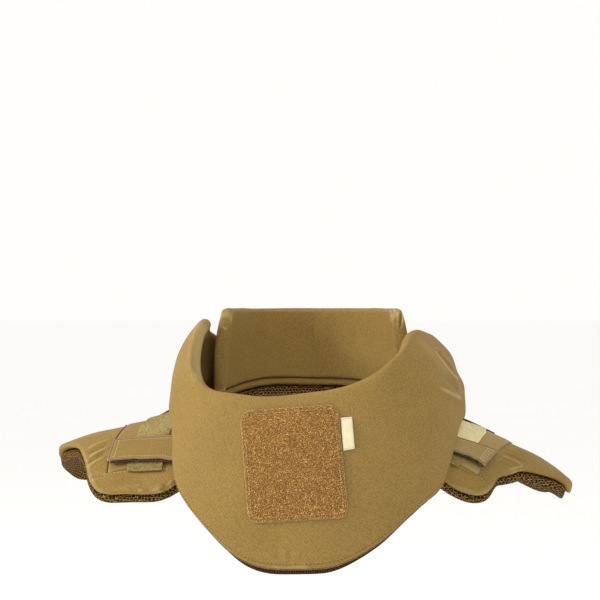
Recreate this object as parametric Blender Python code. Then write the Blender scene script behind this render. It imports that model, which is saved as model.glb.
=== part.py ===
"""A ballistic gorget: a padded throat and neck guard of coyote-brown cloth, in the form it has when worn.

The frame is in metres with +Z up. The front of the neck faces -Y and the wearer's left is +X.
The origin is the centre of the neck at the height of the shoulders. The tables are in millimetres
and degrees. An angle about the neck is 0 at the front and 90 at +X.
"""

import math

import bmesh
import bpy
import numpy as np

MM = 0.001

INSIDE_CHEST = np.array((0.0, 0.0, -80.0))

# Clearance between flat pieces that touch, and between curved ones
GAP = 0.45
REST_GAP = 0.8

# Padded collars
COLLAR_THICKNESS = 9.5
COLLAR_END = 119.0
COLLAR_END_ROUND = 17.0
COLLAR_SQUARENESS = 2.7
HUG_START = 78.0
COLLAR_LINING_THICKNESS = 3.2
COLLAR_LINING_REACH = 44.0
COLLAR_LINING_DROP = 1.6
COLLAR_LINING_TOP = 15.0

BACK_COLLAR_RADIUS = 67.0
BACK_COLLAR_FLARE = 6.5
BACK_COLLAR_THICKNESS = 9.0
BACK_COLLAR_TOP = 99.0
BACK_COLLAR_START = 82.0
BACK_COLLAR_ROUND = 13.0

# Shoulder yoke
YOKE_INNER_RADIUS = 65.0
YOKE_START = 36.0
YOKE_END_ROUND = 14.0
YOKE_COLUMN = 6.0
COVER_THICKNESS = 5.5
MESH_THICKNESS = 6.5
MESH_OVERHANG = 2.4
FRONT_FALL = 0.0075
NAPE_REACH = 76.0
NAPE_SLOPE = 0.85
NAPE_BEND = 8.0

# Straps sewn on the yoke
PANEL_THICKNESS = 1.0
WEBBING_THICKNESS = 1.4
FLAP_THICKNESS = 1.6
TAPE_THICKNESS = 0.9
TAPE_SHOWS = 0.8
FLAP_WIDTH = 18.0
FLAP_LIP = 1.6
PANEL_INNER = 88.0
WEBBING_WIDTH = 24.5
PANEL_LIFT = REST_GAP + PANEL_THICKNESS
WEBBING_LIFT = PANEL_LIFT + GAP + WEBBING_THICKNESS
FLAP_LIFT = WEBBING_LIFT + GAP + TAPE_THICKNESS + GAP + FLAP_THICKNESS

# Badge panel on the throat
PATCH_WIDTH = 67.5
PATCH_HEIGHT = 77.0
PATCH_CORNER = 6.5
PATCH_THICKNESS = 1.6
PATCH_CENTRE = (-12.8, -7.4)
PATCH_TILT = 4.2
LABEL_WIDTH = 8.2
LABEL_HEIGHT = 23.0
LABEL_THICKNESS = 0.7
LABEL_FALL = 17.0

# Colour, roughness
COYOTE = ((0.36, 0.255, 0.115), 0.8)
SPACER_MESH = ((0.13, 0.075, 0.032), 0.9)
LOOP_PILE = ((0.43, 0.215, 0.075), 0.95)
CREAM = ((0.86, 0.77, 0.45), 0.7)
KHAKI = ((0.45, 0.37, 0.17), 0.85)
HOOK = ((0.10, 0.06, 0.03), 0.9)


def table(columns, *rows):
    """A short table: one array for each named column, the first of which is the key."""
    return {name: np.array(values, float) for name, values in zip(columns.split(), zip(*rows))}


# The front collar's outer face, one row for each level. Its widths are half the front view's outline.
COLLAR_LEVELS = table(
    "height left right front turn",
    (-90, 132, 128, 128, -4),
    (-60, 132, 130, 126, -5),
    (-35, 125, 121, 123, -6),
    (-20, 121, 118, 120, -7),
    (-8, 116, 118, 117, -8),
    (5, 110, 116.5, 114, -9),
    (15, 105.5, 115.5, 111, -10),
    (30, 103, 115.5, 106, -12),
    (40, 102.3, 115.5, 102, -13),
    (52, 101, 111, 97, -13),
    (66, 97, 104, 92, -12),
    (80, 90, 90, 87, -10),
    (94, 79, 78, 80, -8),
)

# Height of the collar's rim and of its free hem round the neck
RIM = table(
    "angle height",
    (-119, 74),
    (-100, 83),
    (-84, 91),
    (-73, 92.5),
    (-63, 80),
    (-54, 55),
    (-45, 44),
    (-33, 41),
    (-20, 39.5),
    (-4, 42),
    (10, 46),
    (24, 55),
    (36, 70),
    (48, 82),
    (60, 85.5),
    (74, 82.5),
    (95, 77),
    (119, 72),
)
HEM = table(
    "angle height",
    (-54, -20),
    (-47, -30),
    (-43, -34.5),
    (-37.5, -46.5),
    (-31, -59.5),
    (-24, -72.5),
    (-19.5, -77.5),
    (-15, -80),
    (-7, -80.5),
    (1, -80),
    (6, -78.5),
    (13, -72),
    (21.5, -60),
    (29.5, -45),
    (39, -33),
    (45, -27),
    (50, -21),
    (56, -12),
)
HEM_RESTS_FROM = 47.5
HEM_RESTS_BY = 53.0

# Creases and puckers of the collar's outer face, raised or, below nought, sunk
COLLAR_FOLDS = table(
    "angle height slant length width depth",
    (66, 59, -48, 15, 4.0, 1.6),
    (74, 62, -48, 16, 5.5, -2.6),
    (70, 34, -26, 13, 4.5, 1.5),
    (72, 43, -30, 14, 5.5, -2.4),
    (-58, 62, 72, 22, 9.0, 1.4),
    (-10, -74, 88, 11, 3.5, -0.9),
    (-3, -75, 92, 10, 3.0, 0.8),
    (-17, -72, 84, 10, 3.5, 0.7),
)

# The yoke's top along the shoulders, and how fast it falls behind them
SHOULDER = table(
    "across height back_fall",
    (-196, -9, 0.0075),
    (-188, -3.5, 0.0075),
    (-178, 1, 0.0075),
    (-156, 7, 0.0062),
    (-136, 11, 0.0034),
    (-118, 15, 0.0010),
    (-104, 19.5, 0),
    (-80, 31, 0),
    (-50, 42, 0),
    (0, 45, 0),
    (50, 40, 0),
    (80, 27, 0),
    (98, 18, 0),
    (113, 11.5, 0.0003),
    (129, 6.5, 0.0010),
    (144, -0.9, 0.0036),
    (158, -6, 0.0056),
    (170, -12, 0.0068),
    (182, -18, 0.0075),
    (188, -23, 0.0075),
    (191.5, -27.6, 0.0075),
    (194, -33.5, 0.0075),
    (196.5, -42, 0.0075),
    (199, -51, 0.0075),
)

# The yoke's outer edge seen from above, from the front of the wearer's left round the back
YOKE_EDGE = table(
    "angle radius",
    (36, 84),
    (44, 96),
    (49, 108),
    (53, 125),
    (57, 138),
    (60, 144),
    (63, 146),
    (67, 147),
    (70, 151),
    (73.7, 156.5),
    (76.5, 163),
    (80, 177.5),
    (83, 190),
    (86, 194.5),
    (90, 195.5),
    (95, 195.5),
    (101, 191.5),
    (105, 182),
    (109, 161),
    (116, 142),
    (128, 127),
    (149, 116.5),
    (180, 112),
    (211, 117.5),
    (227, 129.5),
    (239, 145),
    (247, 166),
    (251, 184),
    (255, 193),
    (260, 195.5),
    (265, 193.5),
    (270, 187.5),
    (276, 177),
    (281, 173.5),
    (286, 172),
    (290, 172.5),
    (293.5, 171),
    (296.5, 164.5),
    (300, 151.5),
    (306, 135.5),
    (309.5, 119.5),
    (313, 107),
    (318, 97),
    (324, 86),
)

# Straps of each wing seen from above, at the outer or rear end and then at the inner or front end
WINGS = {
    "right": table(
        "panel_edge panel_y web_x web_y flap_x flap_y flap_slant",
        (144, 4, 118, 5, 130, -52, -5.5),
        (119, -64, 94, -62, 93, -51, 0),
    ),
    "left": table(
        "panel_edge panel_y web_x web_y flap_x flap_y flap_slant",
        (-139, 4, -114, 5, -145.2, -49.5, -1.7),
        (-148, -63, -121.5, -64, -98, -60.5, 0),
    ),
}


def smooth(rows, column, at):
    """Reads a column between its rows, along a smooth curve through them."""
    keys = rows[next(iter(rows))]
    values = rows[column]
    slopes = np.gradient(values, keys)
    at = min(max(at, keys[0]), keys[-1])
    i = min(int(np.searchsorted(keys, at, side="right")), len(keys) - 1) - 1
    span = keys[i + 1] - keys[i]
    t = (at - keys[i]) / span
    start = (1 + 2 * t) * (1 - t) ** 2 * values[i] + t * (1 - t) ** 2 * span * slopes[i]
    end = t * t * (3 - 2 * t) * values[i + 1] + t * t * (t - 1) * span * slopes[i + 1]
    return start + end


def ease(low, high, at):
    """0 below low, 1 above high and a smooth step between them."""
    t = min(max((at - low) / (high - low), 0.0), 1.0)
    return t * t * (3 - 2 * t)


def around(angle, radius, height):
    """The point at an angle about the neck."""
    turned = math.radians(angle)
    return np.array((radius * math.sin(turned), -radius * math.cos(turned), height))


def yoke_point(across, depth):
    """The yoke's top face above a place in plan: the shoulders' line, falling away to front and back."""
    past = depth - NAPE_REACH
    height = smooth(SHOULDER, "height", across) - NAPE_SLOPE * (past + math.hypot(past, NAPE_BEND)) / 2
    fall = FRONT_FALL if depth < 0 else smooth(SHOULDER, "back_fall", across)
    return np.array((across, depth, height - fall * depth * depth))


def yoke_at(angle, radius):
    place = around(angle, radius, 0.0)
    return yoke_point(place[0], place[1])


def fold_height(angle, height):
    """How far the creases raise the collar's outer face at a place."""
    radius = math.hypot(*collar_point(angle, height)[:2])
    raised = 0.0
    for row in range(len(COLLAR_FOLDS["angle"])):
        fold = {name: values[row] for name, values in COLLAR_FOLDS.items()}
        side = math.radians(angle - fold["angle"]) * radius
        up = height - fold["height"]
        slant = math.radians(fold["slant"])
        along = side * math.cos(slant) + up * math.sin(slant)
        across = up * math.cos(slant) - side * math.sin(slant)
        raised += fold["depth"] * math.exp(-((along / fold["length"]) ** 2) - (across / fold["width"]) ** 2)
    return raised


def collar_point(angle, height):
    """The front collar's outer face: a rounded section at each level, closing on the back collar."""
    turned = math.radians(angle - smooth(COLLAR_LEVELS, "turn", height) * (1 - ease(60, 110, abs(angle))))
    width = smooth(COLLAR_LEVELS, "right" if turned > 0 else "left", height)
    front = smooth(COLLAR_LEVELS, "front", height)
    power = COLLAR_SQUARENESS
    radius = (abs(math.cos(turned)) / front) ** power + (abs(math.sin(turned)) / width) ** power
    radius = radius ** (-1 / power)
    hug = back_collar_radius(height) + COLLAR_THICKNESS + GAP
    radius += (hug - radius) * ease(HUG_START, COLLAR_END - 6, abs(angle))
    return around(angle, radius, height)


def back_collar_radius(height):
    """The back collar leans in a little towards its top."""
    return BACK_COLLAR_RADIUS + BACK_COLLAR_FLARE * (1 - ease(60, 108, height))


def back_collar_point(angle, height):
    return around(angle, back_collar_radius(height), height)


def rest_height(angle, surface, thickness, lift):
    """The lowest level at which a wall with a rounded edge clears what lies this high on the yoke."""
    half = thickness / 2
    level = 20.0
    for _ in range(12):
        place = surface(angle, level)
        radius = math.hypot(place[0], place[1]) - half
        below = yoke_at(angle, radius)
        slope = (yoke_at(angle, radius + half)[2] - yoke_at(angle, radius - half)[2]) / thickness
        upright = normal_of(yoke_point, below[0], below[1])[2]
        level = below[2] + (lift + REST_GAP) / upright + half * (math.hypot(1, slope) - 1)
    return level


def strap_lift(angle):
    """The height of what lies between the front collar and the yoke: flaps, then webbing, then nothing."""
    by_flap = 1 - ease(70, 84, abs(angle))
    by_webbing = 1 - ease(99, 108, abs(angle))
    return (WEBBING_LIFT + GAP + (FLAP_LIFT - WEBBING_LIFT) * by_flap) * by_webbing


def corner(place, end, size):
    """How far a rounded corner of this size cuts in, at a place near the end."""
    past = min(max(abs(place) - (end - size), 0.0), size)
    return size - math.sqrt(size * size - past * past)


def collar_limits(angle):
    """The front collar's lower and upper edge at an angle about the neck."""
    hem = smooth(HEM, "height", angle)
    if abs(angle) > HEM_RESTS_FROM:
        rest = rest_height(angle, collar_point, COLLAR_THICKNESS, strap_lift(angle))
        hem += (rest - hem) * ease(HEM_RESTS_FROM, HEM_RESTS_BY, abs(angle))
    end = math.radians(COLLAR_END) * BACK_COLLAR_RADIUS
    cut = corner(math.radians(angle) * BACK_COLLAR_RADIUS, end, COLLAR_END_ROUND)
    return hem + cut, smooth(RIM, "height", angle) - cut


def collar_lining_limits(angle):
    hem = collar_limits(angle)[0]
    return hem - COLLAR_LINING_DROP, smooth(RIM, "height", angle) - COLLAR_LINING_TOP


def back_collar_limits(angle):
    rest = rest_height(angle, back_collar_point, BACK_COLLAR_THICKNESS, 0.0)
    end = math.radians(180 - BACK_COLLAR_START) * BACK_COLLAR_RADIUS
    cut = corner(math.radians(angle - 180) * BACK_COLLAR_RADIUS, end, BACK_COLLAR_ROUND)
    return rest, BACK_COLLAR_TOP - cut


def yoke_limits(overhang):
    """The yoke's inner and outer edge at an angle, reached past by the overhang, less where it is steep."""

    def limits(angle):
        end = math.radians(180 - YOKE_START) * YOKE_INNER_RADIUS
        cut = corner(math.radians(angle - 180) * YOKE_INNER_RADIUS, end, YOKE_END_ROUND)
        outer = smooth(YOKE_EDGE, "radius", angle) - cut
        return YOKE_INNER_RADIUS + cut - overhang, outer + overhang * normal_of(yoke_at, angle, outer)[2]

    return limits


def spaced(low, high, count, edge):
    """Places from low to high, closer together inside the two rounded edges."""
    edge = min(edge, (high - low) / 4)
    near = [] if edge == 0 else [0.0, 0.3 * edge]
    inner = list(np.linspace(low + edge, high - edge, count))
    return [low + step for step in near] + inner + [high - step for step in reversed(near)]


def normal_of(surface, u, v):
    """A face's unit normal, which looks away from inside the wearer's chest."""
    step = 0.05
    along = surface(u + step, v) - surface(u - step, v)
    up = surface(u, v + step) - surface(u, v - step)
    normal = np.cross(along, up)
    if np.dot(normal, surface(u, v) - INSIDE_CHEST) < 0:
        normal = -normal
    return normal / np.linalg.norm(normal)


def distances(points):
    """How far each point of a grid lies from the grid's nearest edge, along the grid's own lines."""
    nearest = np.full(points.shape[:2], np.inf)
    for axis in (0, 1):
        steps = np.linalg.norm(np.diff(points, axis=axis), axis=2)
        start = np.zeros((1, steps.shape[1])) if axis == 0 else np.zeros((steps.shape[0], 1))
        run = np.concatenate([start, np.cumsum(steps, axis=axis)], axis=axis)
        total = run[-1:, :] if axis == 0 else run[:, -1:]
        nearest = np.minimum(nearest, np.minimum(run, total - run))
    return nearest


def principled(name, finish):
    colour, roughness = finish
    material = bpy.data.materials.new(name)
    material.use_nodes = True
    shader = material.node_tree.nodes["Principled BSDF"]
    shader.inputs["Base Color"].default_value = (*colour, 1.0)
    shader.inputs["Roughness"].default_value = roughness
    shader.inputs["Metallic"].default_value = 0.0
    return material


def panel(name, surface, columns, limits, rows, thickness, finish, edge=0.0, sink=0.0, relief=None):
    """A closed panel under a face: outer and inner grid and the walls between them.

    Columns are places across the face and limits gives each column's two ends. The outer grid lies
    sink below the face. Within edge of its border a padded panel thins to a rounded edge. Relief
    says how far the outer grid is raised at a place.
    """
    spots = [[(u, v) for v in spaced(*limits(u), rows, edge)] for u in columns]
    face = np.array([[surface(u, v) for u, v in column] for column in spots])
    normals = np.array([[normal_of(surface, u, v) for u, v in column] for column in spots])
    full = np.ones(face.shape[:2])
    if edge > 0:
        thin_edge = 0.3
        inside = 1 - np.minimum(distances(face) / edge, 1.0)
        full = thin_edge + (1 - thin_edge) * np.sqrt(1 - inside**2)
    middle = face - (sink + thickness / 2) * normals
    swell = (thickness / 2) * full[..., None] * normals
    raised = np.zeros(face.shape[:2])
    if relief:
        raised = np.array([[relief(u, v) for u, v in column] for column in spots]) * full

    mesh = bmesh.new()
    top = middle + swell + raised[..., None] * normals
    outer = [[mesh.verts.new(point * MM) for point in column] for column in top]
    inner = [[mesh.verts.new(point * MM) for point in column] for column in middle - swell]
    last_column = len(outer) - 1
    last_row = len(outer[0]) - 1
    for i in range(last_column):
        for j in range(last_row):
            for grid in (outer, inner):
                mesh.faces.new((grid[i][j], grid[i + 1][j], grid[i + 1][j + 1], grid[i][j + 1]))
    for i in range(last_column):
        for j in (0, last_row):
            mesh.faces.new((outer[i][j], outer[i + 1][j], inner[i + 1][j], inner[i][j]))
    for j in range(last_row):
        for i in (0, last_column):
            mesh.faces.new((outer[i][j], outer[i][j + 1], inner[i][j + 1], inner[i][j]))
    bmesh.ops.recalc_face_normals(mesh, faces=mesh.faces)
    data = bpy.data.meshes.new(name)
    mesh.to_mesh(data)
    mesh.free()
    data.shade_smooth()
    data.set_sharp_from_angle(angle=math.radians(40))
    data.materials.append(principled(name, finish))
    piece = bpy.data.objects.new(name, data)
    bpy.context.collection.objects.link(piece)
    return piece


def build_collars():
    panel(
        "front_collar",
        collar_point,
        spaced(-COLLAR_END, COLLAR_END, 40, 5.0),
        collar_limits,
        10,
        COLLAR_THICKNESS,
        COYOTE,
        edge=COLLAR_THICKNESS * 0.55,
        relief=fold_height,
    )
    panel(
        "collar_lining",
        collar_point,
        np.linspace(-COLLAR_LINING_REACH, COLLAR_LINING_REACH, 19),
        collar_lining_limits,
        8,
        COLLAR_LINING_THICKNESS,
        SPACER_MESH,
        sink=COLLAR_THICKNESS + REST_GAP,
    )
    panel(
        "back_collar",
        back_collar_point,
        spaced(BACK_COLLAR_START, 360 - BACK_COLLAR_START, 23, 4.0),
        back_collar_limits,
        4,
        BACK_COLLAR_THICKNESS,
        COYOTE,
        edge=BACK_COLLAR_THICKNESS / 2,
    )


def yoke_columns():
    """The angles of the edge table, with more between those that lie far apart."""
    angles = YOKE_EDGE["angle"]
    columns = [YOKE_START + 1.0]
    for start, end in zip(angles, angles[1:]):
        parts = math.ceil((end - start) / YOKE_COLUMN)
        columns += [start + (end - start) * part / parts for part in range(parts)]
    return sorted(columns + [angles[-1] - 1.0, angles[-1]])


def build_yoke():
    columns = yoke_columns()
    panel(
        "yoke_cover",
        yoke_at,
        columns,
        yoke_limits(0.0),
        7,
        COVER_THICKNESS,
        COYOTE,
        edge=COVER_THICKNESS * 0.7,
    )
    panel(
        "yoke_mesh",
        yoke_at,
        columns,
        yoke_limits(MESH_OVERHANG),
        7,
        MESH_THICKNESS,
        SPACER_MESH,
        edge=MESH_THICKNESS * 0.5,
        sink=COVER_THICKNESS + REST_GAP,
    )


def between(start, end, part):
    """The place this many hundredths of the way from start to end."""
    return np.array(start, float) * (1 - part / 100) + np.array(end, float) * part / 100


def lying(x, y, lift):
    """A point this far above the yoke's top face."""
    return yoke_point(x, y) + lift * normal_of(yoke_point, x, y)


def build_straps(side, wing):
    """The panel, webbing, hook tape and flap sewn on one wing, each on the one below it."""
    start, end = ({name: values[row] for name, values in wing.items()} for row in (0, 1))
    half_webbing = WEBBING_WIDTH / 2
    half_flap = FLAP_WIDTH / 2
    panel_inner = math.copysign(PANEL_INNER, start["panel_edge"])

    # From the outer edge in under the collar, and from the rear forward
    def panel_face(u, v):
        outer = between((start["panel_edge"], start["panel_y"]), (end["panel_edge"], end["panel_y"]), v)
        x, y = between(outer, (panel_inner, outer[1]), u)
        return lying(x, y, PANEL_LIFT)

    def webbing_face(u, v):
        x, y = between((start["web_x"], start["web_y"]), (end["web_x"], end["web_y"]), v)
        return lying(x + u, y, WEBBING_LIFT)

    # From the free end in under the collar, and from the rear edge forward to the lifted lip
    def flap_face(u, v):
        x, y = between((start["flap_x"], start["flap_y"]), (end["flap_x"], end["flap_y"]), u)
        x += start["flap_slant"] * (1 - u / 100) * v / half_flap
        lip = FLAP_LIP * ease(0, half_flap, v) * (1 - ease(10, 60, u))
        return lying(x, y - v, FLAP_LIFT + lip)

    along = np.linspace(0, 100, 8)
    panel(
        f"strap_panel_{side}",
        panel_face,
        np.linspace(0, 100, 6),
        lambda u: (0, 100),
        8,
        PANEL_THICKNESS,
        COYOTE,
    )
    panel(
        f"loop_webbing_{side}",
        webbing_face,
        np.linspace(-half_webbing, half_webbing, 5),
        lambda u: (0, 100),
        9,
        WEBBING_THICKNESS,
        KHAKI,
    )
    panel(
        f"hook_flap_{side}",
        flap_face,
        along,
        lambda u: (-half_flap, half_flap),
        6,
        FLAP_THICKNESS,
        COYOTE,
    )
    panel(
        f"hook_tape_{side}",
        flap_face,
        along[:-1] + 1.5,
        lambda u: (-half_flap + 1.0, half_flap + TAPE_SHOWS),
        6,
        TAPE_THICKNESS,
        HOOK,
        sink=FLAP_THICKNESS + GAP,
    )


def patch_spot(across, up):
    """The angle and level of the collar's face at a place of the badge panel."""
    tilt = math.radians(PATCH_TILT)
    x = PATCH_CENTRE[0] + across * math.cos(tilt) - up * math.sin(tilt)
    height = PATCH_CENTRE[1] + across * math.sin(tilt) + up * math.cos(tilt)
    low, high = -60.0, 60.0
    for _ in range(24):
        angle = (low + high) / 2
        if collar_point(angle, height)[0] < x:
            low = angle
        else:
            high = angle
    return angle, height


def on_patch(lift):
    def face(across, up):
        angle, height = patch_spot(across, up)
        return collar_point(angle, height) + lift * normal_of(collar_point, angle, height)

    return face


def build_badge():
    half_width = PATCH_WIDTH / 2
    half_height = PATCH_HEIGHT / 2

    def patch_limits(across):
        cut = corner(across, half_width, PATCH_CORNER)
        return -half_height + cut, half_height - cut

    panel(
        "loop_patch",
        on_patch(GAP + PATCH_THICKNESS),
        spaced(-half_width, half_width, 7, PATCH_CORNER),
        patch_limits,
        9,
        PATCH_THICKNESS,
        LOOP_PILE,
    )
    panel(
        "label_tab",
        on_patch(GAP + LABEL_THICKNESS),
        np.linspace(half_width + GAP, half_width + GAP + LABEL_WIDTH, 4),
        lambda across: (LABEL_FALL - LABEL_HEIGHT / 2, LABEL_FALL + LABEL_HEIGHT / 2),
        5,
        LABEL_THICKNESS,
        CREAM,
    )


def main():
    for piece in list(bpy.data.objects):
        bpy.data.objects.remove(piece, do_unlink=True)
    build_collars()
    build_yoke()
    for side, wing in WINGS.items():
        build_straps(side, wing)
    build_badge()


main()
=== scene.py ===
"""A ballistic gorget in coyote-brown cloth: padded collars and shoulder yoke, mesh lining and straps.

Metres, +Z up, the front of the neck towards -Y. Places in the photograph are pixels of its
600 by 600 frame. In names, left and right are those of the photograph.
"""

import math
import random
from functools import partialmethod

import bmesh
import bpy
import numpy as np
from mathutils import Matrix, Vector, noise
from mathutils.bvhtree import BVHTree
from mathutils.kdtree import KDTree


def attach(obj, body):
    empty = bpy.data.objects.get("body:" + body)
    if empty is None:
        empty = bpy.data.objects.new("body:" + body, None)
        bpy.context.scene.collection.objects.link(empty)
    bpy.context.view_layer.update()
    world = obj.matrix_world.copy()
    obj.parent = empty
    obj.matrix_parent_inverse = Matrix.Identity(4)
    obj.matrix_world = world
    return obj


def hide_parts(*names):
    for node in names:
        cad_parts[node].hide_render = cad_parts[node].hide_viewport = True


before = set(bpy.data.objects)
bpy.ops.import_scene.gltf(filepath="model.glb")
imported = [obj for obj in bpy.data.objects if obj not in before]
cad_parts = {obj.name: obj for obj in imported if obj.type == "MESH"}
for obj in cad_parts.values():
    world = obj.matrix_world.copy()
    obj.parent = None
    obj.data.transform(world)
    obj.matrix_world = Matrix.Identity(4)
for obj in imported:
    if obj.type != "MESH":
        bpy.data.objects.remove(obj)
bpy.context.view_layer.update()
random.seed(11)

MM = 0.001
FRAME = 600
EYE = Vector((-0.009, -1.5, 0.105))
LENS = 120.0
SENSOR = 36.0
PIXEL_STEP = 1.5

# Thread pitches
NYLON_PITCH = 0.62 * MM
WEBBING_PITCH = 1.0 * MM
MESH_CELL = 2.35 * MM
HEM_CELL = 1.7 * MM

# Straps of each wing: rear, inner ends and corners seen from above, in mm, and edges in pixels
WINGS = {
    "left": {
        "panel_rear": (-139, 4),
        "panel_edge": ((125.6, 426.4), (121, 431.4), (116, 439), (108.6, 460), (107.3, 472.4)),
        "panel_inner": ((-89, 4), (-89, -60)),
        "webbing_rear": (-120, 6),
        "webbing_edge": ((143.7, 420.8), (140, 427), (136.7, 436.5), (129, 457), (126.6, 470.0)),
        "webbing_width": 24.5,
        "webbing_corner": (-107.5, -69.5),
        "flap_rear": ((113.8, 439.5), (136.7, 437.3), (154, 436.2), (170.4, 435.4)),
        "flap_front": ((106.6, 460.0), (134, 457.8), (159, 457.6), (170.3, 459.4)),
        "end_rows": (0.035, 0.085),
        "edge_radius": 0.5,
        "rear_roll": (-121, -92),
    },
    "right": {
        "panel_rear": (150, 4),
        "panel_edge": ((505.5, 444), (492, 459.5), (478, 473.6)),
        "panel_inner": ((89, 4), (89, -60)),
        "webbing_rear": (130.5, 5),
        "webbing_edge": ((486.2, 432.4), (479.8, 440.9), (466, 458), (457.8, 466.5)),
        "webbing_width": -24.5,
        "webbing_corner": (81, -64),
        "flap_rear": ((498, 450.6), (484, 445.4), (470, 440.8), (459, 437.6)),
        "flap_front": ((485.6, 465.0), (478, 459.6), (469, 454.8), (456, 450.6)),
        "end_rows": (0.03, 0.07, 0.115, 0.16),
        "edge_radius": 0.3,
        "rear_roll": (137, 92),
    },
}
# Straps, in mm: how far each lies above the yoke, how far the flap runs in under the collar, how far
# its front edge stands up, and where the dark roll lies. Then the counts of loops and of hooks
PANEL_LIFT = 0.9
WEBBING_LIFT = 2.4
TAPE_LIFT = 3.4
FLAP_LIFT = 4.4
FLAP_REACH = 9.0
FLAP_LIP = 1.6
ROLL_BEHIND = 7.5
ROLL_LIFT = 2.6
ROLL_END_DROP = 2.0
NAP_LOOPS = 1500
FLAP_HOOKS = 420

# Dark and light shades of the webbing behind each flap, and the painted shade of the webbing in front of
# both flaps
WEBBING_TONES = {
    "left": ((0.21, 0.145, 0.047), (0.60, 0.465, 0.190)),
    # The right webbing's shades are light as painted sheen, and its nap takes the same
    "right": ((0.62, 0.520, 0.235), (1.00, 0.930, 0.590)),
}
PAINTED_WEBBING_SHADE = ((0.16, 0.105, 0.032), (0.46, 0.335, 0.115))

# Hook tape, and the ground that the badge panel's pile stands on
HOOK_SHADES = ((0.012, 0.009, 0.006), (0.20, 0.135, 0.07))
GROUND_SHADES = ((0.15, 0.070, 0.017), (0.42, 0.225, 0.065))

# Spacer meshes: their cell, and the colours of their holes, their ground and its highest strands. The
# yoke's spacer mesh is dark in its own colour and also as painted shade under the wings
MESHES = {
    "spacer_mesh": (MESH_CELL, (0.016, 0.008, 0.003), (0.085, 0.043, 0.011), (0.60, 0.35, 0.10)),
    "hem_mesh": (HEM_CELL, (0.022, 0.011, 0.004), (0.070, 0.034, 0.010), (0.26, 0.14, 0.045)),
    "roll_tape": (HEM_CELL, (0.010, 0.006, 0.003), (0.030, 0.018, 0.007), (0.13, 0.08, 0.03)),
}

# Badge panel on the throat and its label: sizes in mm, how far in its seam lies as a part of them,
# the pitch of its pile in mm, and the corners in the photograph
PATCH_SIZE = (67.5, 77.0)
PATCH_CORNER = 6.5
PATCH_PIXELS = ((249, 523), (348, 517), (337, 405), (241, 412))
PATCH_SEAM = 0.035
PILE_PITCH = 1.08
LABEL_SIZE = (8.2, 23)
LABEL_PIXELS = ((343.4, 451), (354.6, 449), (352, 417), (340.7, 418))

# Pads: the two that carry sheets, how the pads swell, the gap kept between them, and how finely
# their cloth is cut near its folds
YOKE_PAD = "yoke_cover_pad"
COLLAR_PAD = "front_collar_pad"
PAD_LEVELS = 2
SWELL_STEPS = 20
SWELLING = {
    "quality": 4,
    "mass": 0.25,
    "tension_stiffness": 12,
    "compression_stiffness": 8,
    "bending_stiffness": 2,
    "pin_stiffness": 4,
    "use_pressure": True,
    "uniform_pressure_force": 4.0,
}
PAD_GAP = 0.25 * MM
FOLD_REACH = 5.0 * MM
FOLD_GRAIN = 1.1 * MM

# The length that the bend for wear and painted fold highlights is judged over, and the radius at which
# cloth is wrapped about the neck
BEND_LENGTH = 2.5 * MM
COLLAR_RADIUS = 0.105

# Folds: the pixels along each, its half width and its height in mm
COLLAR_FOLDS = [
    (((428, 343), (433, 349.5), (440, 359), (449, 370), (456, 377.5), (461, 383)), 2.2, 1.3),
    (((434, 342), (441, 352), (448, 362), (454, 370), (458, 377)), 4.2, -2.4),
    (((434, 386), (444, 390.5), (455, 396), (462.5, 400)), 2.4, 1.2),
    (((442, 374), (450, 380), (457, 386), (461, 390)), 4.2, -2.2),
    (((276, 545), (278, 555), (277, 563)), 2.4, -0.5),
    (((283, 547), (284, 556), (284, 564)), 2.2, 0.3),
    (((290, 548), (291, 557), (292, 564)), 2.2, -0.5),
    (((303, 550), (303, 558), (302, 565)), 2.4, -0.4),
]
COVER_FOLDS = [
    (((84, 451), (93, 446.5), (103, 442), (113, 438.6)), 1.6, 1.1),
    (((86, 455), (95, 450.3), (104, 446), (112, 442.6)), 1.6, -1.4),
    (((86, 459), (95, 454), (103, 450), (111, 446.6)), 1.5, 1.2),
    (((86, 464), (94, 458.5), (102, 454.5), (109, 450.6)), 1.6, -1.3),
    (((87, 468), (94, 463), (101, 459), (107, 455)), 1.5, 1.0),
    (((86, 440), (104, 434.5), (118, 432)), 2.3, -0.9),
    (((90, 478), (96, 476), (106, 474.5)), 1.4, -1.0),
    (((112, 484), (124, 480), (138, 478.5), (150, 480)), 3.2, -1.3),
    (((120, 489), (132, 486), (145, 485)), 2.4, 0.8),
    (((160, 497), (163, 489), (168, 481)), 1.7, -0.9),
    (((153, 496), (156, 489), (160, 483)), 1.6, 0.5),
    (((146, 496), (148, 490), (150, 486)), 1.6, -0.7),
    (((138, 496), (140, 491), (142, 487)), 1.6, 0.4),
    (((168, 494), (170, 488), (172, 480)), 1.7, 0.5),
    (((502, 447), (512, 451), (522, 455.5), (532, 460.5)), 1.6, 1.3),
    (((500, 450.5), (510, 454.5), (520, 459), (530, 464)), 1.7, -1.6),
    (((498, 455), (507, 458.5), (516, 462.5), (524, 467)), 1.6, 1.3),
    (((496, 459.5), (504, 463), (513, 467)), 1.7, -1.0),
    (((512, 447.5), (522, 452), (534, 457.5)), 1.6, -1.2),
    (((452, 478), (462, 483), (470, 485)), 2.4, -0.9),
]
BACK_FOLDS = [
    (((391.5, 310), (391, 322), (391, 334)), 1.3, -1.6),
    (((401.4, 311), (400.4, 321), (399.5, 332)), 0.9, -2.0),
]

# Bands of painted highlight on the front collar, where light falls on its peaks: the pixels along each, its
# half width in mm and its strength
COLLAR_HIGHLIGHTS = [
    (((203, 328), (199, 340), (197, 355), (199, 370), (205, 382)), 5.5, 0.8),
    (((208, 336), (206, 350), (207, 366)), 8.0, 0.7),
    (((424, 344), (436, 357), (447, 369)), 6.0, 0.3),
]

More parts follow.
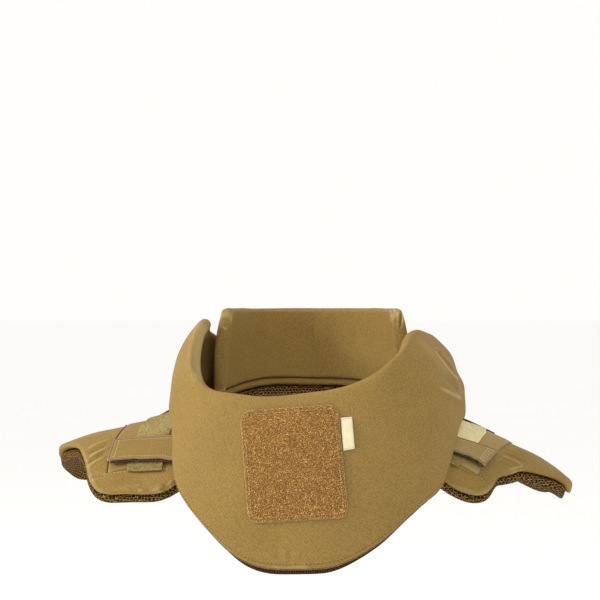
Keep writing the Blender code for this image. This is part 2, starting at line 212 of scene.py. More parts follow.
# Seams in the photograph
BACK_SEAMS = [((393.6, 312), (393, 322), (393, 332)), ((389.5, 314), (389, 322), (389, 332))]
LEFT_SEAM = ((89, 479.5), (97, 475.8), (107, 473.7), (118, 472.3), (127, 471.3), (145, 470), (169, 468.6))
RIGHT_SEAM = ((458, 468), (466, 471.5), (474.6, 474.7), (481, 475.7), (487.4, 482), (490.3, 487.8))

# Seams of the collars: the angles about the neck, and how far the rows lie above each collar's hem.
# The joint's roll, dark as painted shade, is then moved in and down
HEM_ANGLES = [-52 + 1.5 * part for part in range(70)]
JOINT_ANGLES = range(90, 271, 3)
NECK_RADIUS = 60 * MM
HEM_ROW = 4.2 * MM
HEM_EDGE = 0.7 * MM
JOINT_ROW = 1.2 * MM
JOINT_IN = 4.0 * MM
JOINT_DOWN = 1.1 * MM

# Stage
FLOOR_SIZE = 40.0
FLOOR_HEIGHT = -0.32
KEY_PLACE = Vector((-1.75, -0.42, 0.95))
KEY_LIGHT = {"energy": 25.0, "size": 0.6, "color": (1.0, 0.97, 0.90)}


def set_all(target, **values):
    """Sets several values of something of Blender's, and returns it."""
    for name, value in values.items():
        setattr(target, name, value)
    return target


# Places


def sightline(px, py):
    """The direction from the camera through a place in the photograph."""
    half = SENSOR / LENS / 2
    middle = FRAME / 2
    return Vector(((px - middle) / middle * half, 1.0, (middle - py) / middle * half)).normalized()


def pixel_of(place):
    """Where a place shows in the photograph."""
    away = place - EYE
    scale = FRAME * LENS / SENSOR / away.y
    return Vector((FRAME / 2 + away.x * scale, FRAME / 2 - away.z * scale))


def around(angle, radius, height):
    """The point at an angle about the neck, 0 at the front and 90 at +X."""
    turned = math.radians(angle)
    return Vector((radius * math.sin(turned), -radius * math.cos(turned), height))


def ease(low, high, at):
    """0 below low, 1 above high and a smooth step between them."""
    t = min(max((at - low) / (high - low), 0.0), 1.0)
    return t * t * (3 - 2 * t)


def smooth_line(points, step, closed=False):
    """Points a step apart along a smooth curve through the given ones."""
    points = [Vector(point) for point in points]
    if closed:
        ends = [points[-1]] + points + points[:2]
    else:
        ends = [points[0] * 2 - points[1]] + points + [points[-1] * 2 - points[-2]]
    dense = []
    for a, b, c, d in zip(ends, ends[1:], ends[2:], ends[3:]):
        parts = max(2, math.ceil((c - b).length / step * 2))
        for part in range(parts):
            t = part / parts
            curve = 2 * b + (c - a) * t + (2 * a - 5 * b + 4 * c - d) * t * t
            dense.append((curve + (3 * b - a - 3 * c + d) * t**3) / 2)
    dense.append(points[0].copy() if closed else points[-1].copy())
    return evenly(dense, step)


def runs_of(line):
    """How far along a polyline each of its points lies."""
    runs = [0.0]
    for a, b in zip(line, line[1:]):
        runs.append(runs[-1] + (b - a).length)
    return runs


def evenly(line, step):
    """Points about a step apart along a polyline, with both its ends."""
    runs = runs_of(line)
    count = max(2, round(runs[-1] / step) + 1)
    spaced = []
    segment = 0
    for part in range(count):
        at = runs[-1] * part / (count - 1)
        while segment < len(line) - 2 and runs[segment + 1] < at:
            segment += 1
        span = runs[segment + 1] - runs[segment]
        t = 0 if span == 0 else (at - runs[segment]) / span
        spaced.append(line[segment].lerp(line[segment + 1], t))
    return spaced


def tree_of(places):
    """Places, ready to be searched for the nearest one."""
    tree = KDTree(len(places))
    for index, place in enumerate(places):
        tree.insert(place, index)
    tree.balance()
    return tree


class Face:
    """The finished surface of one or more pieces, on which other things are laid."""

    def __init__(self, *pieces):
        mesh = bmesh.new()
        for piece in pieces:
            mesh.from_mesh(piece.data)
        self.tree = BVHTree.FromBMesh(mesh)
        mesh.free()

    def at_pixel(self, px, py):
        """The place that shows at a pixel, or None."""
        return self.tree.ray_cast(EYE, sightline(px, py))[0]

    def below_pixel(self, px, py, lift):
        """The place on the surface that shows at a pixel once it is raised by the lift, in mm."""
        aim = Vector((px, py))
        best = None
        for _ in range(5):
            place = self.at_pixel(aim.x, aim.y)
            if place is None:
                break
            best = place
            shown = pixel_of(place + self.snapped(place)[1] * (lift * MM))
            aim += (Vector((px, py)) - shown) * 0.8
        return best

    def snapped(self, point):
        """The nearest place on the surface and its normal."""
        place, normal, _, _ = self.tree.find_nearest(point)
        return place, normal

    def under(self, x, y):
        """The place straight below a point in plan, and its normal."""
        place, normal, _, _ = self.tree.ray_cast(Vector((x, y, 1)), Vector((0, 0, -1)))
        return place, normal

    def beside(self, angle, height):
        """The outer face at an angle about the neck and a height."""
        start = around(angle, 0.4, height)
        return self.tree.ray_cast(start, Vector((-start.x, -start.y, 0)).normalized())[0]

    def hem(self, angle, low=-0.1, high=0.09):
        """The lowest height at which the wall stands at an angle about the neck."""
        while high - low > 0.2 * MM:
            middle = (low + high) / 2
            found = self.beside(angle, middle)
            if found is None or found.xy.length < 0.03:
                low = middle
            else:
                high = middle
        return high

    def laid(self, points, step, lift=0.0, closed=False):
        """A line laid on the surface: places a step apart, each with its normal."""
        found = [self.snapped(point) for point in smooth_line(points, step, closed)]
        return [(place + normal * lift, normal) for place, normal in found]

    def drawn(self, pixels, step):
        """A line of the photograph laid on the surface."""
        line = smooth_line([(x, y, 0) for x, y in pixels], PIXEL_STEP)
        seen = [self.at_pixel(spot[0], spot[1]) for spot in line]
        return self.laid([place for place in seen if place], step)


# Materials


class Socket:
    """A node's output, or a number, on which sums are written as they are in Python."""

    def __init__(self, tree, link):
        self.tree = tree
        self.link = link

    def maths(self, operation, *others):
        return self.tree.node("ShaderNodeMath", {"operation": operation}, (self, *others))

    __add__ = __radd__ = partialmethod(maths, "ADD")
    __sub__ = partialmethod(maths, "SUBTRACT")
    __mul__ = partialmethod(maths, "MULTIPLY")
    __truediv__ = partialmethod(maths, "DIVIDE")
    __mod__ = partialmethod(maths, "FLOORED_MODULO")
    floor = partialmethod(maths, "FLOOR")
    absolute = partialmethod(maths, "ABSOLUTE")
    sine = partialmethod(maths, "SINE")
    higher = partialmethod(maths, "MAXIMUM")

    def __rsub__(self, other):
        return self.tree.node("ShaderNodeMath", {"operation": "SUBTRACT"}, (other, self))

    def step(self, low, high):
        """0 below low, 1 above high and a smooth step between them."""
        settings = {"interpolation_type": "SMOOTHSTEP"}
        values = {"Value": self, "From Min": low, "From Max": high}
        return self.tree.node("ShaderNodeMapRange", settings, values)


class Finish:
    """A material in the making, whose nodes are added by one method."""

    def __init__(self, name, roughness, sheen=0.0):
        self.material = bpy.data.materials.new(name)
        self.material.use_nodes = True
        self.nodes = self.material.node_tree.nodes
        self.links = self.material.node_tree.links
        self.shader = self.nodes["Principled BSDF"]
        values = {"Roughness": roughness, "Metallic": 0.0, "Specular IOR Level": 0.2, "Sheen Weight": sheen}
        for socket, value in values.items():
            self.shader.inputs[socket].default_value = value

    def join(self, socket, value):
        """Links a node to a socket, or sets the socket to a number or colour."""
        if isinstance(value, Socket):
            self.links.new(value.link, socket)
        elif isinstance(value, tuple) and len(value) == 3 and len(socket.default_value) == 4:
            socket.default_value = (*value, 1.0)
        else:
            socket.default_value = value

    def node(self, kind, settings=None, values=(), output=0):
        """Adds a node: its settings, then the values or links of its sockets, by place or by name."""
        made = set_all(self.nodes.new(kind), **(settings or {}))
        pairs = values.items() if isinstance(values, dict) else enumerate(values)
        for place, value in pairs:
            self.join(made.inputs[place], value)
        return Socket(self, made.outputs[output])

    def along(self):
        """How far a place lies along and across the cloth, in metres."""
        flat = self.node("ShaderNodeUVMap", {"uv_map": "cloth"})
        split = self.nodes.new("ShaderNodeSeparateXYZ")
        self.links.new(flat.link, split.inputs[0])
        return Socket(self, split.outputs[0]), Socket(self, split.outputs[1])

    def mottle(self, size, detail=2.0, roughness=0.5):
        """Soft noise of a size in metres, about 0.5."""
        place = self.node("ShaderNodeTexCoord", output="Object")
        values = {"Vector": place, "Scale": 1 / size, "Detail": detail, "Roughness": roughness}
        return self.node("ShaderNodeTexNoise", None, values)

    def attribute(self, name):
        return self.node("ShaderNodeAttribute", {"attribute_name": name}, (), "Fac")

    def mix(self, factor, low, high):
        """A colour between two, by a factor."""
        return self.node("ShaderNodeMix", {"data_type": "RGBA"}, {0: factor, 6: low, 7: high}, 2)

    def done(self, colour, height=None, distance=0.0):
        """The finished material: its colour, and the relief of a height over a distance in metres."""
        self.join(self.shader.inputs["Base Color"], colour)
        if height is not None:
            values = {"Strength": 1.0, "Distance": distance, "Height": height}
            self.join(self.shader.inputs["Normal"], self.node("ShaderNodeBump", None, values))
        return self.material


def plain_weave(finish, u, v, pitch):
    """Threads over and under each other: the height of the upper one, and which of the two it is."""
    across = u / pitch
    along = v / pitch
    over = (across.floor() + along.floor()) % 2.0
    warp = (across * math.pi).sine().absolute() * (0.45 + over * 0.55)
    weft = (along * math.pi).sine().absolute() * (1.0 - over * 0.55)
    return warp.higher(weft), over


def coyote_nylon(name="coyote_nylon", light=(0.375, 0.240, 0.066), dark=(0.215, 0.130, 0.027)):
    """Tight plain-weave nylon with a faint sheen, paler where its fold ridges and edges wear, which partly
    paints their highlights, and along painted highlight bands.
    """
    finish = Finish(name, 0.62)
    u, v = finish.along()
    threads, over = plain_weave(finish, u, v, NYLON_PITCH)
    broad = finish.mottle(0.045, 3.0).step(0.3, 0.72)
    fine = finish.mottle(0.0012, 2.0, 0.6)
    rib = ((u + v * 0.8) * (2 * math.pi / (2.2 * MM))).sine() * 0.5 + 0.5
    tone = broad * 0.20 + over * 0.08 + rib * 0.18 + fine.step(0.3, 0.7) * 0.56 - 0.03
    base = finish.mix(tone, dark, light)
    # Paler tint from the attribute of wear on fold ridges and edges, which also paints their highlights,
    # and of the painted highlight bands of the front collar
    worn = finish.mix(finish.attribute("worn") * 0.7, base, (0.54, 0.40, 0.18))
    finish.join(finish.shader.inputs["Roughness"], 0.56 + broad * 0.12 + fine * 0.1)
    colour = finish.mix((1 - threads).step(0.35, 0.9) * 0.35, worn, (0.16, 0.105, 0.04))
    return finish.done(colour, threads + fine * 0.4 + rib * 0.3, 0.09 * MM)


def spacer_mesh(name, cell, hollow, ground, crown):
    """Knitted spacer mesh: columns of dark oval holes, each column set half a hole from the next."""
    finish = Finish(name, 0.85)
    finish.shader.inputs["Specular IOR Level"].default_value = 0.08
    u, v = finish.along()
    wander = finish.mottle(0.006, 1.0) * (0.9 * cell)
    column = (u + wander) / (cell * 0.86)
    beside = column - column.floor() - 0.5
    row = (v + wander) / (cell * 1.1) + column.floor() * 0.5
    above = row - row.floor() - 0.5
    far = (beside * beside * 0.9 + above * above) * 4
    strand = far.step(0.45, 1.35)
    hole = 1 - far.step(0.30, 0.85)
    fibre = finish.mottle(0.0005, 1.0)
    patchy = finish.mottle(0.0016, 2.0, 0.6).step(0.3, 0.7)
    strands = finish.mix(strand * 0.85 + fibre * 0.30 + patchy * 0.45 - 0.42, ground, crown)
    colour = finish.mix(hole * (0.80 + patchy * 0.15), strands, hollow)
    return finish.done(colour, strand * 0.8 + fibre * 0.12 - hole * 0.7, 1.0 * MM)


def flecked(name, roughness, grain, edges, colours, relief, sheen=0.0):
    """Cloth or thread flecked between two colours by a fine noise, with its relief in mm."""
    finish = Finish(name, roughness, sheen)
    fleck = finish.mottle(*grain)
    return finish.done(finish.mix(fleck.step(*edges), *colours), fleck, relief * MM)


def thread(name, *colours):
    """Twisted sewing thread."""
    return flecked(name, 0.5, (0.0006, 1.0), (0.3, 0.7), colours, 0.1, 0.15)


def pile(name, low, high, pale):
    """Loops of fine fibre, each of its own shade."""
    finish = Finish(name, 0.7, sheen=0.3)
    tone = finish.attribute("tone")
    fibre = finish.mottle(0.0008, 1.0)
    shade = finish.mix(tone * 0.8 + fibre * 0.3, low, high)
    colour = finish.mix((tone - 0.80).step(0.0, 0.2) * 0.65, shade, pale)
    return finish.done(colour, fibre, 0.1 * MM)


def khaki_webbing(name, low, high):
    """Ribbed webbing under a short nap, with painted shade on its part in front of the flap."""
    finish = Finish(name, 0.75)
    u, v = finish.along()
    ribs = (u * (math.pi / WEBBING_PITCH)).sine().absolute()
    rows = (v * (math.pi / (WEBBING_PITCH * 0.8))).sine().absolute()
    nap = finish.mottle(0.0009, 3.0, 0.7)
    unshaded_threads = finish.mix(ribs * 0.4 + nap * 0.7 - 0.1, low, high)
    # The webbing's front part, past 42 to 50 mm along it, takes painted shade in front of the flap
    shaded = finish.mix(nap.step(0.3, 0.7), *PAINTED_WEBBING_SHADE)
    threads = finish.mix(v.step(42 * MM, 50 * MM), unshaded_threads, shaded)
    colour = finish.mix((1 - rows).step(0.6, 0.95) * 0.35, threads, (0.14, 0.095, 0.03))
    return finish.done(colour, ribs * 0.6 + rows * 0.3 + nap * 0.5, 0.35 * MM)


def nap_fibres(name, low, high):
    """The fibres of the webbing's nap, painted in shade where their tone is far below nought."""
    finish = Finish(name, 0.75)
    tone = finish.attribute("tone")
    painted_nap_shade = finish.mix(tone + 1.6, *PAINTED_WEBBING_SHADE)
    return finish.done(finish.mix((tone + 0.5).step(-0.6, 0.4), painted_nap_shade, finish.mix(tone, low, high)))


def cream_label():
    """Satin label tape, bare."""
    finish = Finish("cream_label", 0.45, sheen=0.2)
    _, v = finish.along()
    ribs = (v * (math.pi / (0.35 * MM))).sine().absolute()
    cloud = finish.mottle(0.004, 2.0)
    colour = finish.mix(ribs * 0.25 + cloud * 0.6, (0.74, 0.62, 0.35), (0.97, 0.89, 0.68))
    return finish.done(colour, ribs + cloud * 0.6, 0.08 * MM)


def floor_paint():
    """Matt off-white with a faint cloudiness."""
    finish = Finish("pale_floor", 0.9)
    cloud = finish.mottle(0.6, 2.0)
    return finish.done(finish.mix(cloud, (0.955, 0.955, 0.955), (0.975, 0.975, 0.975)))


# Pieces


def data_of(name, mesh):
    """The mesh data of a finished bmesh."""
    data = bpy.data.meshes.new(name)
    mesh.to_mesh(data)
    mesh.free()
    return data


def add_object(name, data):
    """A new object in the scene."""
    made = bpy.data.objects.new(name, data)
    bpy.context.scene.collection.objects.link(made)
    return made


def add_piece(name, data, material, slot=None, replaces=None):
    """Makes a smooth piece of mesh data, which rides on the part."""
    piece = add_object(name, data)
    data.materials.append(material)
    data.polygons.foreach_set("use_smooth", [True] * len(data.polygons))
    if replaces:
        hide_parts(replaces)
    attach(piece, "root")
    return piece


def bake_modifiers(piece):
    """Applies a piece's modifiers to its mesh."""
    shown = piece.evaluated_get(bpy.context.evaluated_depsgraph_get())
    data = bpy.data.meshes.new_from_object(shown)
    piece.modifiers.clear()
    old = piece.data
    piece.data = data
    bpy.data.meshes.remove(old)
    return piece


def places_of(piece, value="co"):
    """The places of a piece's vertices, or their normals, as rows."""
    values = np.zeros(len(piece.data.vertices) * 3)
    piece.data.vertices.foreach_get(value, values)
    return values.reshape(-1, 3)


def put(piece, places):
    """Moves a piece's vertices."""
    piece.data.vertices.foreach_set("co", places.ravel())
    piece.data.update()


def pad_from(node, name, material, slot):
    """A node's solid as a smooth skin of quads, ready to be stuffed."""
    mesh = bmesh.new()
    mesh.from_mesh(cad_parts[node].data)
    bmesh.ops.remove_doubles(mesh, verts=mesh.verts, dist=0.02 * MM)
    bmesh.ops.join_triangles(
        mesh, faces=mesh.faces, angle_face_threshold=0.9, angle_shape_threshold=1.2, topology_influence=1.2
    )
    piece = add_piece(name, data_of(name, mesh), material, slot, node)
    set_all(piece.modifiers.new("Smooth", "SUBSURF"), levels=PAD_LEVELS, render_levels=PAD_LEVELS)
    # The smooth skin is drawn out again to the solid's own corners
    corners = places_of(piece)
    cage = corners.copy()
    for _ in range(3):
        shown = piece.evaluated_get(bpy.context.evaluated_depsgraph_get())
        cage += (corners - places_of(shown)[: len(corners)]) * 0.8
        put(piece, cage)
    return bake_modifiers(piece)


def stuff(piece, sewn, cap):
    """Swells a pad by a short cloth simulation, where no point moves past the cap.

    Sewn cloth holds, which is where the upward part of its normal passes a test.
    """
    before = places_of(piece)
    held = piece.vertex_groups.new(name="sewn")
    for corner in piece.data.vertices:
        if sewn(corner.normal.z):
            held.add([corner.index], 1.0, "REPLACE")
    cloth = piece.modifiers.new("Cloth", "CLOTH")
    set_all(cloth.settings, vertex_group_mass="sewn", **SWELLING)
    cloth.settings.effector_weights.gravity = 0
    cloth.collision_settings.use_collision = False
    set_all(cloth.point_cache, frame_start=1, frame_end=SWELL_STEPS)
    for step in range(1, SWELL_STEPS + 1):
        bpy.context.scene.frame_set(step)
    bake_modifiers(piece)
    bpy.context.scene.frame_set(1)
    piece.vertex_groups.clear()
    moved = places_of(piece) - before
    far = np.linalg.norm(moved, axis=1, keepdims=True)
    share = cap * np.tanh(far / cap) / np.maximum(far, 1e-9)
    put(piece, before + moved * share)
    return before


def keep_clear(piece, before, neighbours):
    """Presses a swollen pad flush where it would reach into what lies against it."""
    face = Face(*neighbours)
    places = places_of(piece)
    for index, place in enumerate(places):
        point = Vector(place)
        near, normal = face.snapped(point)
        off = point - near
        if off.length < 12 * MM and off.dot(normal) < PAD_GAP:
            start = Vector(before[index])
            near, normal = face.snapped(start)
            if (start - near).dot(normal) > 0:
                places[index] = start
    put(piece, places)


def undulate(piece, size, height, seed):
    """Gives cloth the slight unevenness that it has over its padding."""
    shift = Vector((seed * 3.1, seed * 7.7, seed * 1.3))
    places = places_of(piece)
    spots = [Vector(place) / size for place in places]
    swell = [noise.noise(spot + shift) + 0.4 * noise.noise(spot * 2.3 + shift) for spot in spots]
    put(piece, places + places_of(piece, "normal") * np.array(swell)[:, None] * height)


def refine(piece, lines):
    """Cuts a pad's cloth finer near some lines."""
    tree = tree_of([place for line in lines for place, _ in line])
    mesh = bmesh.new()
    mesh.from_mesh(piece.data)
    for _ in range(2):
        near = []
        for edge in mesh.edges:
            start, end = (corner.co for corner in edge.verts)
            if (end - start).length > FOLD_GRAIN and tree.find((start + end) / 2)[2] < FOLD_REACH:
                near.append(edge)
        bmesh.ops.subdivide_edges(mesh, edges=near, cuts=1, use_grid_fill=True)
    mesh.to_mesh(piece.data)
    mesh.free()
    piece.data.polygons.foreach_set("use_smooth", [True] * len(piece.data.polygons))


def crease(piece, folds):
    """Presses folds into a pad: each is a line of the photograph, with its width and height in mm."""
    face = Face(piece)
    lines = [face.drawn(pixels, 1.0 * MM) for pixels, _, _ in folds]
    refine(piece, lines)
    places = places_of(piece)
    normals = places_of(piece, "normal")
    for line, (_, width, height) in zip(lines, folds):
        tree = tree_of([place for place, _ in line])
        reach = width * MM
        middle = np.array(line[len(line) // 2][0])
        span = (line[-1][0] - line[0][0]).length
        near = np.nonzero(np.linalg.norm(places - middle, axis=1) < span + 3 * reach)[0]
        for corner in near:
            _, index, far = tree.find(places[corner])
            up = line[index][1]
            if far > 2.6 * reach or up.dot(normals[corner]) < 0.1:
                continue
            part = index / (len(line) - 1)
            taper = ease(0, 0.3, part) * (1 - ease(0.7, 1, part))
            places[corner] += np.array(up) * (height * MM * taper * math.exp(-((far / reach) ** 2)))
    put(piece, places)


def mark_wear_and_highlight(piece, spread=2):
    """Stores how far each place wears and how much highlight is painted on it: most on the ridges of folds
    and along edges.
    """
    mesh = bmesh.new()
    mesh.from_mesh(piece.data)
    mesh.verts.ensure_lookup_table()
    bend = np.zeros(len(mesh.verts))
    for corner in mesh.verts:
        near = [edge.other_vert(corner).co for edge in corner.link_edges]
        if near:
            middle = sum(near, Vector()) / len(near)
            size = sum((place - corner.co).length for place in near) / len(near)
            bulge = (corner.co - middle).dot(corner.normal)
            bend[corner.index] = bulge * BEND_LENGTH / max(size, 1e-4) ** 2
    ends = np.array([[corner.index for corner in edge.verts] for edge in mesh.edges])
    mesh.free()
    for _ in range(spread):
        total = bend.copy()
        count = np.ones(len(bend))
        np.add.at(total, ends[:, 0], bend[ends[:, 1]])
        np.add.at(total, ends[:, 1], bend[ends[:, 0]])
        np.add.at(count, ends.ravel(), 1)
        bend = total / count
    worn = np.clip((bend - 0.05) / 0.22, 0, 1)
    layer = piece.data.attributes.new("worn", "FLOAT", "POINT")
    layer.data.foreach_set("value", worn)


def paint_highlight(piece, pixels, width, strength):
    """Paints a broad soft highlight band into the wear attribute along a line of pixels, its half width in
    mm.
    """
    layer = piece.data.attributes["worn"]
    worn = np.zeros(len(piece.data.vertices))
    layer.data.foreach_get("value", worn)
    line = np.array([tuple(place) for place, _ in Face(piece).drawn(pixels, 1.5 * MM)])
    far = np.linalg.norm(places_of(piece)[:, None] - line[None], axis=2).min(axis=1)
    layer.data.foreach_set("value", np.clip(worn + strength * np.exp(-((far / (width * MM)) ** 2)), 0, 1))


def lay_cloth(piece, place_of):
    """Stores where each corner lies along and across the cloth, in metres."""
    data = piece.data
    while data.uv_layers:
        data.uv_layers.remove(data.uv_layers[0])
    layer = data.uv_layers.new(name="cloth")
    for face in data.polygons:
        for loop in face.loop_indices:
            spot = data.vertices[data.loops[loop].vertex_index].co
            layer.data[loop].uv = place_of(spot, face.normal)


def round_neck(spot, normal):
    """Cloth wrapped about the neck."""
    return math.atan2(spot.x, -spot.y) * COLLAR_RADIUS, spot.z


def along_edges(spot, normal):
    """The mesh on the shoulders, whose columns run along its front edges."""
    along, across = over_shoulders(spot, normal)
    return across, along


def over_shoulders(spot, normal):
    """Cloth lying on the shoulders, with its steep edges laid out on their own."""
    if abs(normal.z) > 0.5:
        return spot.x, spot.y
    if abs(normal.y) > abs(normal.x):
        return spot.x, spot.z * 1.1
    return spot.z * 1.1, spot.y


def repeated(name, template, places, material, slot=None, tones=None):
    """One piece made of a small shape repeated at many places."""
    corners = np.array([tuple(corner.co) for corner in template.verts])
    faces = [[corner.index for corner in face.verts] for face in template.faces]
    template.free()
    turned = [np.array(place.to_3x3()) @ corners.T for place in places]
    cloud = np.concatenate([part.T + np.array(place.translation) for part, place in zip(turned, places)])
    starts = range(0, len(places) * len(corners), len(corners))
    many = [[corner + start for corner in face] for start in starts for face in faces]
    data = bpy.data.meshes.new(name)
    data.from_pydata(cloud.tolist(), [], many)
    if tones is not None:
        layer = data.attributes.new("tone", "FLOAT", "POINT")
        layer.data.foreach_set("value", np.repeat(tones, len(corners)))
    return add_piece(name, data, material, slot)


def standing(place, up, along):
    """A frame at a place, whose Z looks up from the surface and whose X runs along it."""
    up = up.normalized()
    side = up.cross(along).normalized()
    along = side.cross(up)
    turned = Matrix((along, side, up)).transposed().to_4x4()
    return Matrix.Translation(place) @ turned


def stitch(length, width):
    """One stitch: a short thread that dips into the cloth at both ends."""
    mesh = bmesh.new()
    bmesh.ops.create_uvsphere(mesh, u_segments=8, v_segments=5, radius=0.5)
    turn = Matrix.Rotation(math.pi / 2, 3, "Y")
    bmesh.ops.rotate(mesh, verts=mesh.verts, matrix=turn)
    bmesh.ops.scale(mesh, verts=mesh.verts, vec=(length, width, width))
    for corner in mesh.verts:
        corner.co.z -= 0.45 * width * (2 * corner.co.x / length) ** 2
    return mesh


def stitched(name, line, material, pitch=2.6, length=1.9, width=0.55, sway=0.0):
    """A row of stitches along a line of places and normals."""
    points = [place for place, _ in line]
    normals = [normal for _, normal in line]
    tree = tree_of(points)
    spots = evenly(points, pitch * MM)
    places = []
    for index, (here, there) in enumerate(zip(spots, spots[1:])):
        middle = (here + there) / 2
        up = normals[tree.find(middle)[1]]
        along = (there - here).normalized()
        if sway:
            along = (along + up.cross(along) * (sway if index % 2 else -sway)).normalized()
        places.append(standing(middle + up * (0.12 * width * MM), up, along))
    return repeated(name, stitch(length * MM, width * MM), places, material)


def piped(name, line, radius, material, slot=None, closed=False):
    """A round binding or cord sewn along a line of places and normals."""
    curve = bpy.data.curves.new(name, "CURVE")
    set_all(curve, dimensions="3D", bevel_depth=radius * MM, bevel_resolution=2, use_fill_caps=True)
    spline = curve.splines.new("POLY")
    spline.points.add(len(line) - 1)
    for point, (place, _) in zip(spline.points, line):
        point.co = (*place, 1.0)
    spline.use_cyclic_u = closed
    holder = add_object(name, curve)
    data = bpy.data.meshes.new_from_object(holder.evaluated_get(bpy.context.evaluated_depsgraph_get()))
    bpy.data.objects.remove(holder)
    mesh = bmesh.new()
    mesh.from_mesh(data)
    bpy.data.meshes.remove(data)
    bmesh.ops.remove_doubles(mesh, verts=mesh.verts, dist=0.01 * MM)
    bmesh.ops.recalc_face_normals(mesh, faces=mesh.faces)
    return add_piece(name, data_of(name, mesh), material, slot)


def cloth_grid(counts, size, spot_of):
    """A grid of cloth laid out by spot_of, whose UV map keeps its own lengths."""
    mesh = bmesh.new()
    bmesh.ops.create_grid(mesh, x_segments=counts[0], y_segments=counts[1], size=0.5)
    layer = mesh.loops.layers.uv.new("cloth")
    for face in mesh.faces:
        for loop in face.loops:
            part = loop.vert.co
            loop[layer].uv = ((part.x + 0.5) * size[0] * MM, (part.y + 0.5) * size[1] * MM)
    for corner in mesh.verts:
        corner.co = spot_of(corner.co.x + 0.5, corner.co.y + 0.5)
    return mesh


def add_strip(names, mesh, face, material, thickness):
    """A piece made of a grid of cloth, which faces away from what it lies on."""
    name, slot, replaces = names
    mesh.normal_update()
    middle = mesh.faces[:][len(mesh.faces) // 2]
    if middle.normal.dot(face.snapped(middle.calc_center_median())[1]) < 0:
        bmesh.ops.reverse_faces(mesh, faces=mesh.faces)
    piece = add_piece(name, data_of(name, mesh), material, slot, replaces)
    set_all(piece.modifiers.new("Thickness", "SOLIDIFY"), thickness=thickness * MM, offset=-1)
    return piece


def sheet_on(names, face, spot_of, counts, size, thickness, material, bevel=0.3, rounds=2):
    """A flat strip of cloth: spot_of gives the place for parts 0 to 1 across and along it.

    The names are those of the piece, its slot and the node that it replaces. The bevel is in mm, the
    rounds are those of smoothing, and the bed is the piece that the strip rests on.
    """
    mesh = cloth_grid(counts, size, spot_of)
    inner = [corner for corner in mesh.verts if not corner.is_boundary]
    axes = {"use_axis_x": True, "use_axis_y": True, "use_axis_z": True}
    for _ in range(rounds):
        bmesh.ops.smooth_vert(mesh, verts=inner, factor=0.5, **axes)
    piece = add_strip(names, mesh, face, material, thickness)
    soft = piece.modifiers.new("Soft edge", "BEVEL")
    set_all(soft, width=bevel * MM, segments=2, limit_method="ANGLE", angle_limit=math.radians(50))
    bake_modifiers(piece)
    mark_wear_and_highlight(piece, 1)
    return piece


# Padded pieces


def build_pad(node, name, material, slot, seed, size, height, fill, sewn=None, cap=0, beside=()):
    """A pad of a node: swollen clear of the pieces beside it where it is sewn, and slightly uneven.

    The size of its unevenness is in metres. Its height and the cap of the swelling are in mm.
    """
    pad = pad_from(node, name, material, slot)
    if sewn:
        keep_clear(pad, stuff(pad, sewn, cap * MM), beside)
    undulate(pad, size, height * MM, seed)
    return pad


def build_pads():
    """Every padded piece, from the shoulders up."""
    mesh = (MESH_LINING, "spacer_mesh", 1)
    lining = build_pad("yoke_mesh", "yoke_mesh_lining", *mesh, 0.014, 0.25, 0.5)
    cloth = (NYLON, "coyote_nylon")
    sewn = (lambda up: abs(up) < 0.35, 1.1, [lining])
    cover = build_pad("yoke_cover", YOKE_PAD, *cloth, 2, 0.022, 0.35, 0.6, *sewn)
    sewn = (lambda up: abs(up) > 0.8, 1.2, [cover])
    back = build_pad("back_collar", "back_collar_pad", *cloth, 3, 0.02, 0.35, 0.7, *sewn)
    sewn = (lambda up: up < -0.6, 1.3, [cover, back])
    collar = build_pad("front_collar", COLLAR_PAD, *cloth, 4, 0.03, 0.4, 0.7, *sewn)
    mesh = (HEM_LINING, "spacer_mesh", 5)
    facing = build_pad("collar_lining", "collar_mesh_lining", *mesh, 0.014, 0.15, 0.4)
    return lining, cover, back, collar, facing


def finish_pads(lining, cover, back, collar, facing):
    """Stores each pad's wear and painted highlights, and the run of its cloth."""
    for piece, lie in (
        (lining, along_edges),
        (cover, over_shoulders),
        (back, round_neck),
        (collar, round_neck),
        (facing, round_neck),
    ):
        mark_wear_and_highlight(piece)
        lay_cloth(piece, lie)
    # Bands of painted highlight on the front collar's peaks
    for pixels, width, strength in COLLAR_HIGHLIGHTS:
        paint_highlight(collar, pixels, width, strength)


# Straps


def on_yoke(face, spot, lift):
    """The place this far above the yoke, in mm, straight over a spot in plan."""
    place, normal = face.under(spot.x, spot.y)
    return place + normal * (lift * MM)


def along_line(line, part):
    """The place a part of the way along a polyline."""
    runs = runs_of(line)
    at = min(max(part, 0.0), 1.0) * runs[-1]
    for (a, b), (low, high) in zip(zip(line, line[1:]), zip(runs, runs[1:])):
        if at <= high:
            return a.lerp(b, (at - low) / max(high - low, 1e-9))
    return line[-1]


def plan(face, pixels, lift):
    """Places of the photograph, on cloth raised by the lift, as a line seen from above."""
    found = [face.below_pixel(px, py, lift) for px, py in pixels]
    return [Vector((place.x, place.y, 0)) for place in found if place]


def mm_plan(*spots):
    """Spots in mm, as places seen from above."""
    return [Vector((x * MM, y * MM, 0)) for x, y in spots]


def size_of(first, second, third, fourth):
    """The mean width and length of a four-sided cut, in mm."""
    width = ((second - first).length + (third - fourth).length) / 2
    length = ((fourth - first).length + (third - second).length) / 2
    return width / MM, length / MM


def names_of(strap, side, kind, slot):
    """The names of a strap's piece, of its slot and of the node that it replaces."""
    return f"{strap}_{side}_{kind}", slot, f"{strap}_{side}"


